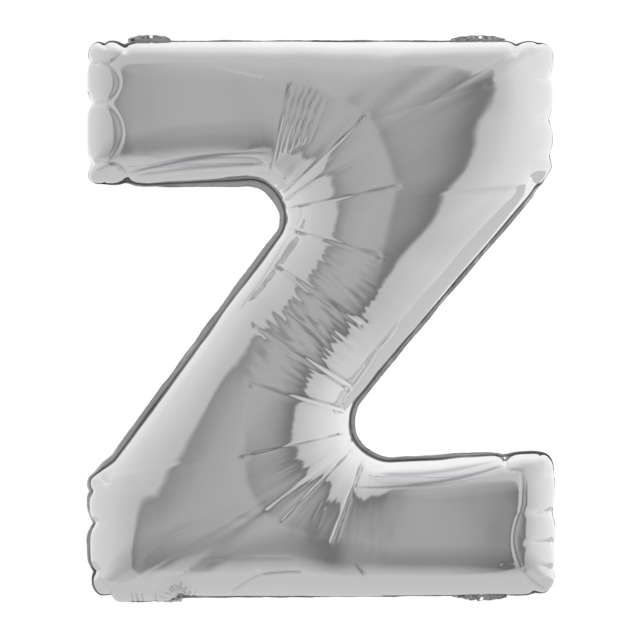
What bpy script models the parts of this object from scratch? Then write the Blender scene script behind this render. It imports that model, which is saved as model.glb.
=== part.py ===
"""Letter-shaped foil balloon, a Z about 0.88 m tall, inflated.

Two film panels, front and back, are welded together round a flat border. The
gas bulges each panel like a film held at the weld. The height of a panel is
the square root of the solution of a screened Poisson equation on the letter's
outline: a long stroke comes out as a half-round tube, and a wide corner comes
out only a little fatter, because the real film cannot stretch.

Frame: origin at the middle of the letter, in the plane of the weld. +X is to
the right of somebody reading the letter, +Z is up, and the reader looks
along +Y, so the front panel is on the -Y side. Metres.
"""

import math

import bmesh
import bpy
import numpy as np

# ------------------------------------------------------------ dimensions (m)
WALL = 0.010          # thickness of each panel's shell
BORDER = 0.0055       # width of the welded border outside the panels
BORDER_UNDER = 0.007  # how far the border runs in between the two panels' rims
BORDER_THICK = 0.0012
GAP = 0.0003          # clearance between neighbouring pieces
STROKE = 0.221        # width of a stroke between its two welds
RIM = 0.0030          # short upright rim at the foot of each panel
SPREAD = 0.080        # film further than this from a weld stops rising with the width
END_PUSH = 0.0315     # the gathered ends rise more steeply than the sides: how much fuller they are
END_REACH = 0.0378    # and how far in from the end

TAB_THICK = 0.0012
TAB_HOLE_R = 0.0022

TAIL_WIDTH = 0.038    # filling tail, folded up behind the bottom stroke
TAIL_THICK = 0.0020
TAIL_CLEAR = 0.0030
TAIL_X = -0.238
TAIL_FROM_DEG, TAIL_TO_DEG = 0.0, 40.0

# Corners of the letter, at the outer edge of the welded border, clockwise
# from the top left as the reader sees it: name, x, z, fillet radius.
CORNERS = (
    ("top_left", -0.3650, 0.4380, 0.020),
    ("top_right", 0.3620, 0.4380, 0.022),
    ("diagonal_right_end", 0.3590, 0.2090, 0.014),
    ("right_notch", -0.0086, -0.2182, 0.054),
    ("bottom_bar_upper_right", 0.3635, -0.2105, 0.020),
    ("bottom_right", 0.3635, -0.4380, 0.022),
    ("bottom_left", -0.3650, -0.4425, 0.024),
    ("diagonal_left_end", -0.3670, -0.2510, 0.014),
    ("left_notch", -0.0196, 0.2057, 0.046),
    ("top_bar_lower_left", -0.3650, 0.2055, 0.020),
)

# Sections across the strokes, from the left end of the top bar to the right
# end of the bottom bar. Each joins a point on the upper right edge to a point
# on the lower left edge: name, x and z on the upper right edge, x and z on the
# lower left edge, number of sections from here to the next row.
SPOKES = (
    ("top_bar", -0.236, 0.438, -0.236, 0.206, 3),
    ("top_bar_inner", -0.103, 0.438, -0.134, 0.206, 3),
    ("fan_1a", -0.016, 0.438, -0.092, 0.201, 5),
    ("fan_1b", 0.180, 0.438, -0.078, 0.191, 4),
    ("corner_1_above", 0.335, 0.438, -0.071, 0.180, 1),
    ("corner_1", 0.357, 0.433, -0.070, 0.178, 1),
    ("corner_1_below", 0.361, 0.410, -0.069, 0.175, 4),
    ("corner_2_above", 0.355, 0.222, -0.064, 0.162, 1),
    ("corner_2", 0.353, 0.209, -0.064, 0.161, 1),
    ("corner_2_below", 0.344, 0.199, -0.065, 0.159, 2),
    ("fan_1e", 0.280, 0.129, -0.067, 0.151, 4),
    ("diagonal_upper", 0.128, -0.056, -0.092, 0.099, 4),
    ("diagonal_lower", 0.081, -0.108, -0.139, 0.047, 4),
    ("fan_2e", 0.056, -0.160, -0.291, -0.139, 2),
    ("corner_7_above", 0.054, -0.168, -0.352, -0.243, 1),
    ("corner_7", 0.053, -0.170, -0.361, -0.253, 1),
    ("corner_7_below", 0.053, -0.171, -0.361, -0.267, 4),
    ("corner_6_above", 0.058, -0.184, -0.360, -0.412, 1),
    ("corner_6", 0.059, -0.187, -0.354, -0.431, 1),
    ("corner_6_below", 0.060, -0.189, -0.334, -0.437, 4),
    ("fan_2b", 0.067, -0.200, -0.180, -0.435, 5),
    ("fan_2a", 0.081, -0.210, 0.016, -0.435, 3),
    ("bottom_bar_inner", 0.123, -0.215, 0.092, -0.435, 3),
    ("bottom_bar", 0.236, -0.213, 0.236, -0.435, 0),
)

N_END = 5        # sections over which each end rounds off
N_ACROSS = 12    # strips across each section

# Loops that the balloon is hung by: name, centre x, seam z, side (+1 up, -1 down), width, height
TABS = (
    ("hang_tab_top_left", -0.268, 0.4380, 1, 0.066, 0.010),
    ("hang_tab_top_right", 0.247, 0.4380, 1, 0.066, 0.010),
    ("hang_tab_bottom_right", 0.250, -0.4390, -1, 0.066, 0.008),
)

# Materials: name, colour, metallic, roughness
FINISHES = {
    "foil_silver": ((0.78, 0.78, 0.79, 1.0), 1.0, 0.16),
    "foil_weld": ((0.52, 0.52, 0.53, 1.0), 1.0, 0.32),
}


# ------------------------------------------------------------ small helpers
def clear_scene():
    for obj in list(bpy.data.objects):
        bpy.data.objects.remove(obj, do_unlink=True)


def make_material(name):
    colour, metallic, roughness = FINISHES[name]
    material = bpy.data.materials.new(name)
    material.use_nodes = True
    shader = material.node_tree.nodes["Principled BSDF"]
    shader.inputs["Base Color"].default_value = colour
    shader.inputs["Metallic"].default_value = metallic
    shader.inputs["Roughness"].default_value = roughness
    material.diffuse_color = colour
    return material


def add_to(collection, obj, material):
    collection.objects.link(obj)
    obj.data.materials.append(material)
    return obj


# ------------------------------------------------------------ the outline
def inset(corners, distance):
    """The corner table moved inwards by distance: an outer fillet gets tighter, a notch's gets wider."""
    count = len(corners)
    xz = np.array([(c[1], c[2]) for c in corners])
    along = np.roll(xz, -1, axis=0) - xz
    along /= np.linalg.norm(along, axis=1)[:, None]
    inward = np.stack([along[:, 1], -along[:, 0]], axis=1)
    moved = []
    for i, (name, _, _, radius) in enumerate(corners):
        a, b = (i - 1) % count, i
        system = np.array([inward[a], inward[b]])
        target = np.array([inward[a] @ xz[i] + distance, inward[b] @ xz[i] + distance])
        x, z = np.linalg.solve(system, target)
        turn = along[a][0] * along[b][1] - along[a][1] * along[b][0]
        convex = turn < 0
        moved.append((name, x, z, radius - distance if convex else radius + distance))
    return moved


def fillet_points(corners, i, steps):
    """Points of corner i's rounding, in the order of travel."""
    xz = np.array([(c[1], c[2]) for c in corners])
    count = len(corners)
    before, here, after = xz[(i - 1) % count], xz[i], xz[(i + 1) % count]
    t_in = (here - before) / np.linalg.norm(here - before)
    t_out = (after - here) / np.linalg.norm(after - here)
    angle = math.acos(max(-1.0, min(1.0, float(t_in @ t_out))))
    radius = corners[i][3]
    tangent = radius * math.tan(angle / 2)
    start = here - t_in * tangent
    side = math.copysign(1.0, t_in[0] * t_out[1] - t_in[1] * t_out[0])
    normal = np.array([-t_in[1], t_in[0]]) * side
    centre = start + normal * radius
    points = []
    for k in range(steps + 1):
        turned = side * angle * k / steps
        c, s = math.cos(turned), math.sin(turned)
        arm = start - centre
        points.append(centre + np.array([c * arm[0] - s * arm[1], s * arm[0] + c * arm[1]]))
    return points


def side_path(corners, first, last, steps=16):
    """The edge from the middle of corner first's rounding to the middle of corner last's, going clockwise."""
    count = len(corners)
    points, i = fillet_points(corners, first, steps)[steps // 2:], first
    while True:
        i = (i + 1) % count
        arc = fillet_points(corners, i, steps)
        if i == last:
            points += arc[: steps // 2 + 1]
            return np.array(points)
        points += arc


def lengths(path):
    return np.concatenate([[0.0], np.cumsum(np.linalg.norm(np.diff(path, axis=0), axis=1))])


def at(path, s):
    run = lengths(path)
    return np.stack([np.interp(s, run, path[:, 0]), np.interp(s, run, path[:, 1])], axis=-1)


def nearest(path, point):
    """How far along the path its nearest point to this one lies."""
    run, best = lengths(path), (1e9, 0.0)
    for i in range(len(path) - 1):
        d = path[i + 1] - path[i]
        size = float(d @ d)
        if size < 1e-18:
            continue
        t = min(1.0, max(0.0, float((np.array(point) - path[i]) @ d) / size))
        off = float(np.linalg.norm(path[i] + t * d - point))
        if off < best[0]:
            best = (off, run[i] + t * math.sqrt(size))
    return best[1]


def letter_grid(corners):
    """Plan of a panel: an array of (sections, points across, x and z), from the lower left edge to the upper right one."""
    upper = side_path(corners, 0, 4)
    lower = side_path(corners, 5, 9)[::-1]
    end_a = side_path(corners, 9, 0)
    end_b = side_path(corners, 4, 5)[::-1]
    up_total, low_total = lengths(upper)[-1], lengths(lower)[-1]
    pairs = [(nearest(upper, row[1:3]), nearest(lower, row[3:5]), row[5]) for row in SPOKES]

    quarter = [1 - math.cos(0.5 * math.pi * k / N_END) for k in range(N_END)]
    stations, shape = [], []
    for q in quarter:
        stations.append((pairs[0][0] * q, pairs[0][1] * q))
        shape.append(((1 - q) ** 2, 0.0))
    for (u0, l0, n), (u1, l1, _) in zip(pairs, pairs[1:]):
        for k in range(n):
            t = k / n
            stations.append((u0 + (u1 - u0) * t, l0 + (l1 - l0) * t))
            shape.append((0.0, 0.0))
    stations.append(pairs[-1][:2])
    shape.append((0.0, 0.0))
    for q in reversed(quarter):
        stations.append((up_total - (up_total - pairs[-1][0]) * q, low_total - (low_total - pairs[-1][1]) * q))
        shape.append((0.0, (1 - q) ** 2))

    across = np.array([(1 - math.cos(math.pi * j / N_ACROSS)) / 2 for j in range(N_ACROSS + 1)])
    run_a, run_b = lengths(end_a), lengths(end_b)
    bow_a = at(end_a, across * run_a[-1]) - (1 - across)[:, None] * end_a[0] - across[:, None] * end_a[-1]
    bow_b = at(end_b, across * run_b[-1]) - (1 - across)[:, None] * end_b[0] - across[:, None] * end_b[-1]
    rows = []
    for (su, sl), (wa, wb) in zip(stations, shape):
        low, up = at(lower, sl), at(upper, su)
        rows.append((1 - across)[:, None] * low + across[:, None] * up + wa * bow_a + wb * bow_b)
    return np.array(rows)


# ------------------------------------------------------------ the bulge
def bulge(grid):
    """Height of the inflated film over each point of the plan."""
    rows, cols = grid.shape[:2]
    points = grid.reshape(-1, 2)
    index = np.arange(rows * cols).reshape(rows, cols)
    a, b, c, d = (index[:-1, :-1], index[1:, :-1], index[1:, 1:], index[:-1, 1:])
    tris = np.concatenate([np.stack(t, axis=-1).reshape(-1, 3) for t in ((a, b, c), (a, c, d), (a, b, d), (b, c, d))])
    p = points[tris]
    e = np.stack([p[:, 2] - p[:, 1], p[:, 0] - p[:, 2], p[:, 1] - p[:, 0]], axis=1)
    area = 0.5 * np.abs(e[:, 0, 0] * e[:, 1, 1] - e[:, 0, 1] * e[:, 1, 0])
    local = np.einsum("nik,njk->nij", e, e) / (4 * area)[:, None, None]
    half = 0.5 * STROKE
    push = (half / SPREAD) ** 2 / (1 - 1 / math.cosh(half / SPREAD))
    stiff = np.zeros((len(points), len(points)))
    load = np.zeros(len(points))
    for i in range(3):
        np.add.at(load, tris[:, i], push * area / 3)
        for j in range(3):
            share = area / SPREAD**2 * (1 / 6 if i == j else 1 / 12)
            np.add.at(stiff, (tris[:, i], tris[:, j]), local[:, i, j] + share)
    free = index[1:-1, 1:-1].ravel()
    value = np.zeros(len(points))
    value[free] = np.linalg.solve(stiff[np.ix_(free, free)], load[free])
    return np.sqrt(np.maximum(value, 0.0)).reshape(rows, cols)


def fuller_ends(grid, height):
    """Gives each place near an end of the letter the height of a place further in."""
    middle = grid.mean(axis=1)
    run = lengths(middle)
    total = run[-1]

    def push(d):
        return END_PUSH * (d / END_REACH) * np.exp(1 - d / END_REACH)

    source = run + push(run) - push(total - run)
    square = np.stack([np.interp(source, run, height[:, j] ** 2) for j in range(height.shape[1])], axis=1)
    square[0] = square[-1] = 0.0
    return np.sqrt(square)


def panel(name, plan, height, side):
    """One film panel. side is -1 for the front and +1 for the back. It is an open skin, thickened inwards."""
    rows, cols = height.shape
    foot = BORDER_THICK / 2 + GAP
    bm = bmesh.new()
    skin = [
        [bm.verts.new((plan[i, j, 0], side * (foot + RIM + height[i, j]), plan[i, j, 1])) for j in range(cols)]
        for i in range(rows)
    ]
    for i in range(rows - 1):
        for j in range(cols - 1):
            loop = (skin[i][j], skin[i + 1][j], skin[i + 1][j + 1], skin[i][j + 1])
            bm.faces.new(loop)
    edge = [e for e in bm.edges if e.is_boundary]
    made = bmesh.ops.extrude_edge_only(bm, edges=edge)["geom"]
    for v in made:
        if isinstance(v, bmesh.types.BMVert):
            v.co.y = side * foot
    bmesh.ops.recalc_face_normals(bm, faces=bm.faces)
    top = max(bm.faces, key=lambda f: abs(f.calc_center_median().y))
    if top.normal.y * side < 0:
        bmesh.ops.reverse_faces(bm, faces=bm.faces)
    mesh = bpy.data.meshes.new(name)
    bm.to_mesh(mesh)
    bm.free()
    mesh.shade_smooth()
    obj = bpy.data.objects.new(name, mesh)
    wall = obj.modifiers.new("wall", "SOLIDIFY")
    wall.thickness = WALL
    wall.offset = -1.0
    wall.use_even_offset = True
    wall.use_rim = True
    return obj


def flat_piece(name, loops, thick, y):
    """A flat piece in the XZ plane from closed outlines: the first is its edge, the others are holes."""
    curve = bpy.data.curves.new(name, "CURVE")
    curve.dimensions = "2D"
    curve.fill_mode = "BOTH"
    curve.extrude = thick / 2
    for points in loops:
        spline = curve.splines.new("POLY")
        spline.points.add(len(points) - 1)
        for target, (x, z) in zip(spline.points, points):
            target.co = (x, z, 0.0, 1.0)
        spline.use_cyclic_u = True
    obj = bpy.data.objects.new(name, curve)
    obj.rotation_euler = (math.pi / 2, 0.0, 0.0)
    obj.location = (0.0, y, 0.0)
    return obj


def boundary(corners, steps=8):
    points = []
    for i in range(len(corners)):
        points += fillet_points(corners, i, steps)
    return points


def tab_outline(x, z, side, width, height, steps=10):
    """A low rounded ear standing on the border."""
    z = z + side * GAP
    points = [(x - width / 2, z)]
    for k in range(steps + 1):
        t = k / steps
        points.append((x + width * (t - 0.5), z + side * (0.0012 + (height - 0.0012) * math.sin(math.pi * t) ** 0.55)))
    points.append((x + width / 2, z))
    return points


def ring(x, z, radius, steps=16):
    return [(x + radius * math.cos(2 * math.pi * k / steps), z + radius * math.sin(2 * math.pi * k / steps)) for k in range(steps)]


def tail(name, bar_half, centre_z, steps=8):
    """The filling tail: a flat sleeve that leaves the border behind and lies up along the back of the bottom bar."""
    bm = bmesh.new()
    radius = bar_half + TAIL_CLEAR
    start_y = BORDER_THICK / 2 + GAP
    profile = [(start_y, centre_z - radius)]
    for k in range(steps + 1):
        a = math.radians(TAIL_FROM_DEG + (TAIL_TO_DEG - TAIL_FROM_DEG) * k / steps)
        profile.append((BORDER_THICK / 2 + GAP + RIM + radius * math.sin(a), centre_z - radius * math.cos(a)))
    left = [bm.verts.new((TAIL_X - TAIL_WIDTH / 2, y, z)) for y, z in profile]
    right = [bm.verts.new((TAIL_X + TAIL_WIDTH / 2, y, z)) for y, z in profile]
    for k in range(len(profile) - 1):
        bm.faces.new((left[k], left[k + 1], right[k + 1], right[k]))
    bmesh.ops.recalc_face_normals(bm, faces=bm.faces)
    if max(bm.faces, key=lambda f: -f.calc_center_median().z).normal.z > 0:
        bmesh.ops.reverse_faces(bm, faces=bm.faces)
    mesh = bpy.data.meshes.new(name)
    bm.to_mesh(mesh)
    bm.free()
    obj = bpy.data.objects.new(name, mesh)
    wall = obj.modifiers.new("sleeve", "SOLIDIFY")
    wall.thickness = TAIL_THICK
    wall.offset = 1.0
    wall.use_even_offset = True
    return obj


def main():
    clear_scene()
    silver, weld = make_material("foil_silver"), make_material("foil_weld")
    balloon = bpy.data.collections.new("letter_foil_balloon")
    bpy.context.scene.collection.children.link(balloon)

    seam = inset(CORNERS, BORDER)
    plan = letter_grid(seam)
    height = fuller_ends(plan, bulge(plan))
    add_to(balloon, panel("front_panel", plan, height, -1), silver)
    add_to(balloon, panel("back_panel", plan, height, 1), silver)

    outer = boundary(CORNERS)
    inner = boundary(inset(CORNERS, BORDER + BORDER_UNDER))
    add_to(balloon, flat_piece("seam_border", [outer, inner], BORDER_THICK, 0.0), weld)
    for name, x, z, side, width, tall in TABS:
        hole = ring(x, z + side * tall * 0.5, TAB_HOLE_R)
        add_to(balloon, flat_piece(name, [tab_outline(x, z, side, width, tall), hole], TAB_THICK, 0.0), weld)

    low = min(seam, key=lambda c: c[2])[2]
    bar_half = 0.5 * (seam[4][2] - seam[5][2])
    add_to(balloon, tail("filling_tail", bar_half, low + bar_half), weld)


main()
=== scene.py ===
"""Looks of the letter-shaped foil balloon: creased foil skins, welded border, tabs, filling tail, studio."""

import math

import bpy
import numpy as np
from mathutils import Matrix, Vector


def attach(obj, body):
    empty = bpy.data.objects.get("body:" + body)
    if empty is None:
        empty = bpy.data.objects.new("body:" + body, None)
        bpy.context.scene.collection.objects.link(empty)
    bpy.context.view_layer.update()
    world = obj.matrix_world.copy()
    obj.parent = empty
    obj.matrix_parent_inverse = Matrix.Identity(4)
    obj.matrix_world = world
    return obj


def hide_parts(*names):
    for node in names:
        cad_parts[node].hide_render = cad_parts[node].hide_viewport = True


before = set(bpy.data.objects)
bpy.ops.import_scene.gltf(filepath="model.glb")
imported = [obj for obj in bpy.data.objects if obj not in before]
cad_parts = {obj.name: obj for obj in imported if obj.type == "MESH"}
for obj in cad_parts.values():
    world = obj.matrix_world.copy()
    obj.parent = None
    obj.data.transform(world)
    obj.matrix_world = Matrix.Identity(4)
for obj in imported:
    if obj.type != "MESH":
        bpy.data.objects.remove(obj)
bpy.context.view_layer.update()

# ------------------------------------------------------------------ sizes (m)
MM_PER_PX = 1.57
BORDER = 0.0055       # welded border outside the skins
RIM_Y = 0.0008        # the skins' welded edges lie this far from the middle plane
STROKE = 0.221        # width of a stroke between its welds
DISTANCE = 4.2        # of the camera from the weld's plane
SPREAD = 0.080        # film further than this from a weld stops rising with the width
END_PUSH, END_REACH = 3.5, 4.2  # how much fuller the gathered ends are, and how far in, in cells of the grid

# Corners of the letter at the outer edge of the border, clockwise from the top left: name, x, z, fillet radius
CORNERS = (
    ("top_left", -0.3650, 0.4380, 0.020),
    ("top_right", 0.3620, 0.4380, 0.022),
    ("diagonal_right_end", 0.3590, 0.2090, 0.014),
    ("right_notch", -0.0086, -0.2182, 0.054),
    ("bottom_bar_upper_right", 0.3635, -0.2105, 0.020),
    ("bottom_right", 0.3635, -0.4380, 0.022),
    ("bottom_left", -0.3650, -0.4425, 0.024),
    ("diagonal_left_end", -0.3670, -0.2510, 0.014),
    ("left_notch", -0.0196, 0.2057, 0.046),
    ("top_bar_lower_left", -0.3650, 0.2055, 0.020),
)

# Lines across the strokes that the film's weave of points follows. In the two fans they run along the creases
# that spread from the notches. Ends are in 1.57 mm steps right of and below the frame's top left, as the letter
# stands in a 640 step square: name, upper right end x, y, lower left end x, y, cells up to the next line.
LINES = (
    ("bar", 170, 41, 170, 187, 8),
    ("bar_in", 250, 41, 236, 187, 8),
    ("a1", 300, 41, 270, 189, 9),
    ("a4", 359, 41, 276, 193, 14),
    ("b", 443, 41, 281, 199, 16),
    ("corner_1", 545, 43, 282.5, 204, 18),
    ("c", 547, 160, 283.5, 210, 4),
    ("corner_2", 548, 183, 283.8, 213, 14),
    ("d", 460, 288, 283, 225, 14),
    ("e", 403, 354, 268, 252, 12),
    ("e2", 372, 386, 237, 284, 14),
    ("d2", 357, 413, 180, 350, 14),
    ("corner_7", 356, 425, 92, 455, 4),
    ("c2", 356.5, 428, 92, 478, 18),
    ("corner_6", 357.5, 434, 95, 595, 28),
    ("b2", 359, 439, 197, 597, 14),
    ("a4_2", 365, 445, 281, 597, 9),
    ("a1_2", 370, 449, 340, 597, 8),
    ("bar2_in", 404, 452, 390, 597, 8),
    ("bar2", 470, 451, 470, 597, 0),
)
END_CELLS = 14


# Pinches where the weld of the bars' ends is gathered, in the same steps: name, x, y, move to the right, move down,
# reach along the weld, length of the groove that runs in from it, depth of that groove in mm
PINCHES = (
    ("left_end_bulb", 93, 62, 3.5, 0.5, 7, 10, 3.0),
    ("left_end_upper", 91, 103, 5.0, 0.0, 12, 22, 6.0),
    ("left_end_lower", 91, 164, 5.0, -0.5, 11, 20, 5.5),
    ("left_end_top", 104, 43, 1.5, 3.0, 6, 9, 2.5),
    ("left_end_top_notch", 125, 41, 0.0, 4.5, 10, 16, 5.0),
    ("left_end_bottom", 103, 188, 0.5, -2.0, 6, 9, 2.5),
    ("left_end_bottom_notch", 127, 187, 0.0, -4.5, 10, 17, 5.0),
    ("right_end_top_notch", 516, 41, 0.0, 4.5, 10, 20, 5.0),
    ("right_end_corner", 538, 43, -1.0, 2.0, 6, 8, 2.0),
    ("right_end_upper", 548, 78, -4.0, 0.0, 10, 13, 3.5),
    ("right_end_middle", 548, 119, -4.5, 0.0, 12, 15, 3.5),
    ("right_end_lower", 548, 156, -3.5, 0.0, 10, 12, 3.0),
    ("right_end_step", 538, 184, -3.0, -2.5, 9, 12, 3.5),
    ("low_right_top_notch", 505, 452, 0.0, 5.0, 11, 17, 5.5),
    ("low_right_corner", 541, 452, -1.0, 2.5, 6, 8, 2.5),
    ("low_right_upper", 552, 473, -2.5, 1.0, 7, 8, 2.0),
    ("low_right_middle", 552, 512, -4.5, 0.0, 12, 27, 5.0),
    ("low_right_lower", 552, 543, -3.5, 0.0, 10, 24, 3.5),
    ("low_right_foot", 551, 569, -3.0, -1.0, 8, 16, 3.0),
    ("low_right_base", 536, 597, -1.5, -4.0, 9, 15, 4.0),
    ("low_left_step", 103, 478, 3.0, 2.5, 9, 12, 4.0),
    ("low_left_upper", 90, 491, 3.5, 0.0, 7, 8, 2.5),
    ("low_left_middle", 90, 523, 5.0, 0.0, 12, 12, 4.0),
    ("low_left_lower", 90, 572, 4.5, -0.5, 12, 12, 4.0),
    ("low_left_foot", 109, 597, 1.0, -2.5, 8, 10, 3.0),
)

# Where the weld lies off the corners' straight lines, in the same steps: x, y at both ends of a stretch, move to the
# right and down at its first end, the same at its second end, reach
SHIFTS = (
    (284, 224, 108, 460, 4.5, 0.0, 10.5, 0.0, 15), (150, 187, 258, 187, 0.0, 0.8, 0.0, -4.5, 13), (264, 189, 284, 214, 1.5, -4.0, 2.8, 0.0, 13),
    (538, 188, 400, 358, -6.5, 0.0, -5.5, 0.0, 15), (396, 362, 357, 414, -5.0, 0.0, -3.2, 0.0, 14), (356, 418, 358, 438, -3.2, 0.0, -4.0, 0.8, 13),
    (362, 446, 376, 455, -2.5, 1.6, 0.0, 2.2, 12), (380, 455, 440, 455, 0.0, 2.2, 0.0, 1.0, 11), (455, 455, 545, 455, 0.0, -1.0, 0.0, -3.6, 11),
    (550, 58, 550, 166, 5.5, 0.0, 6.5, 0.0, 13), (552, 472, 552, 575, 6.5, 0.0, 6.5, 0.0, 13),
    (91, 60, 91, 176, -3.6, 0.0, -3.6, 0.0, 12), (97, 588, 104, 595, 4.0, -3.0, 2.0, -3.0, 9), (122, 598, 166, 598, 0.0, 5.0, 0.0, 4.5, 13),
)

# Creases of the front as they show, in the same steps: x, y at the weld's end, x, y at the far end, depth in mm,
# half width in steps
CREASES = (
    (268, 180, 290, 84, 1.6, 2.2), (277, 160, 296, 88, 1.0, 1.3), (283, 152, 303, 88, 1.2, 1.3),
    (290, 150, 309, 90, 1.5, 1.4), (296, 146, 315, 93, 1.5, 1.4), (303, 143, 321, 98, 1.2, 1.3), (311, 142, 327, 102, 0.6, 1.3),
    (285, 192, 365, 117, 2.3, 3.2), (289, 208, 396, 186, 2.6, 3.4), (286, 231, 381, 259, -1.4, 1.7), (288, 228, 378, 254, 1.6, 2.4),
    (276, 269, 364, 327, -1.6, 1.7), (279, 266, 366, 322, 1.8, 2.4), (281, 272, 360, 330, 1.0, 1.6),
    (252, 327, 350, 388, -1.6, 1.7), (254, 324, 351, 384, 1.8, 2.4), (262, 338, 346, 390, 0.9, 1.6),
    (248, 385, 343, 412, -1.2, 1.7), (249, 382, 343, 408, 2.0, 2.6), (243, 457, 347, 433, 2.6, 3.4), (283, 520, 352, 450, 2.2, 3.0),
    (332, 541, 362, 461, 2.4, 2.4), (337, 540, 350, 500, 1.2, 1.4), (312, 520, 320, 503, 0.4, 1.2), (318, 527, 326, 508, 0.4, 1.2),
    (355, 486, 366, 458, 1.4, 2.0),
)

# Curved creases in the same way: x, y at one end, at the middle and at the far end, depth of the groove in mm, its half
# width in steps, how much more the film falls on one side of it in mm (to the right of its run if positive), and how
# much painted shade darkens its colour along the groove
CURVES = (
    (356, 487, 430, 483, 504, 465, 0.7, 1.5, -1.6, 0.8), (380, 473, 430, 472, 500, 459, 0.3, 1.4, 0.0, 0.5),
    (130, 173, 205, 157, 269, 153, 0.7, 1.5, 1.6, 0.8), (138, 176, 200, 168, 268, 165, 0.2, 1.2, 0.0, 0.5), (150, 181, 215, 175, 270, 173, 0.2, 1.2, 0.0, 0.4),
    (493, 82, 440, 98, 372, 120, 0.5, 3.0, 0.0, 0.15), (138, 564, 190, 527, 258, 519, 0.6, 4.0, 0.0, 0.0), (198, 559, 245, 557, 292, 557, 0.25, 2.0, 0.0, 0.2),
    (302, 571, 282, 571, 262, 573, 0.4, 1.5, 0.0, 0.7), (262, 573, 248, 580, 232, 591, 0.8, 4.0, 0.0, 0.3),
    (128, 68, 200, 80, 285, 85, 0.3, 6.0, 0.0, 0.0), (135, 150, 190, 131, 270, 128, 0.3, 6.0, 0.0, 0.0),
    (241, 311, 268, 270, 290, 232, 0.3, 1.6, 0.0, 0.4), (398, 321, 374, 356, 351, 388, 0.3, 1.6, 0.0, 0.4), (351, 388, 346, 395, 343, 402, 0.4, 1.5, 0.0, 0.4),
    (300, 205, 300, 216, 295, 226, 0.4, 1.6, 0.0, 0.3), (343, 399, 343, 408, 337, 415, 0.4, 1.6, 0.0, 0.3),
    (104, 62, 119, 82, 106, 103, 1.3, 1.6, 0.0, 0.5), (106, 103, 122, 132, 107, 162, 1.3, 1.6, 0.0, 0.5), (107, 163, 121, 166, 128, 184, 1.3, 1.6, 0.0, 0.4),
    (101, 62, 113, 61, 124, 46, 1.3, 1.6, 0.0, 0.4), (505, 454, 507, 463, 507, 471, 1.4, 1.6, 0.0, 0.4), (507, 471, 516, 470, 524, 472, 1.0, 1.6, 0.0, 0.4),
    (522, 472, 523, 495, 520, 513, 1.1, 1.6, 0.0, 0.5), (520, 513, 514, 542, 522, 568, 1.1, 1.6, 0.0, 0.5), (522, 568, 532, 580, 545, 589, 1.1, 1.7, 0.0, 0.4),
    (500, 565, 515, 566, 526, 570, 0.6, 1.8, 0.0, 0.2),
)

# Pillows of the gathered ends: middle x, y, half width, half height, swell in mm
DOMES = (
    (100, 83, 18, 20, 0.8), (100, 133, 20, 29, 0.8), (108, 175, 16, 13, 0.8), (113, 52, 12, 10, 0.8),
    (539, 492, 18, 20, 0.7), (537, 528, 19, 15, 0.7), (536, 562, 18, 19, 0.7), (522, 462, 16, 9, 0.7),
    (543, 58, 12, 18, 0.7), (544, 98, 13, 20, 0.8), (545, 138, 13, 18, 0.8), (542, 170, 12, 13, 0.7),
    (98, 500, 13, 22, 0.8), (97, 546, 13, 24, 0.9), (104, 585, 12, 14, 0.7),
)

# Rays of the puckered neck, like the creases
NECK = (
    (182, 599, 152, 588, 2.4, 1.2), (182, 599, 158, 581, 2.8, 1.2), (182, 598, 163, 577, 3.0, 1.2), (183, 598, 168, 573, 3.0, 1.2),
    (184, 598, 173, 571, 2.8, 1.2), (186, 598, 178, 573, 2.6, 1.2), (188, 599, 184, 577, 2.2, 1.2), (190, 599, 190, 582, 2.0, 1.2),
    (193, 599, 197, 586, 1.5, 1.2), (180, 600, 150, 595, 2.0, 1.2), (133, 601, 130, 589, 1.8, 1.2), (138, 601, 135, 588, 2.2, 1.2),
    (143, 601, 141, 590, 1.8, 1.2), (156, 601, 155, 591, 1.8, 1.2),
)

# Where the fine pleats reach past the facets' edges in a zigzag: x, y, reach
ZIGZAGS = ((345, 165, 13), (286, 466, 10), (298, 488, 11), (358, 286, 13), (264, 370, 13), (268, 352, 10), (375, 255, 10))

# Edges between the pillows of the gathered ends, in the same way
PILLOWS = (
    (91, 62, 108, 62, 2.0, 2.0), (105, 46, 107, 58, 1.2, 1.6), (91, 103, 112, 103, 2.4, 2.0), (91, 163, 112, 162, 2.2, 2.0),
    (102, 187, 105, 176, 1.2, 1.6), (516, 46, 510, 58, 1.8, 2.0), (510, 58, 496, 74, 0.8, 3.0),
    (552, 78, 534, 76, 1.4, 1.6), (552, 119, 532, 118, 1.6, 1.6), (552, 156, 540, 156, 1.2, 1.6), (540, 184, 530, 176, 1.6, 1.8),
    (540, 453, 540, 465, 1.2, 1.6), (557, 511, 526, 514, 1.6, 1.6), (557, 542, 524, 543, 0.9, 1.8), (557, 571, 546, 570, 1.2, 1.5),
    (104, 479, 112, 486, 2.2, 2.0), (91, 523, 101, 521, 2.4, 2.0), (91, 571, 102, 570, 2.2, 2.0), (109, 596, 114, 586, 1.6, 2.0),
    (181, 575, 183, 577, 0.8, 1.2), (189, 580, 191, 581, 0.8, 1.2), (197, 579, 199, 580, 0.8, 1.2), (186, 571, 188, 572, 0.7, 1.2),
)

# The two bows where the gathered film round a notch ends, as they show: height in mm, how far it fades inside and
# outside, and the points from the bar to the diagonal's far side
BOWS = (
    (5.2, 100, 30, ((290, 84), (308, 88), (328, 95), (347, 105), (365, 117), (377, 134), (387, 158), (395, 186), (391, 210), (385, 235), (381, 259), (375, 290), (364, 327))),
    (5.6, 30, 100, ((347, 556), (333, 541), (312, 536), (290, 528), (268, 516), (253, 500), (245, 480), (243, 457), (243, 430), (246, 408), (250, 385), (252, 355), (253, 328))),
)

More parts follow.
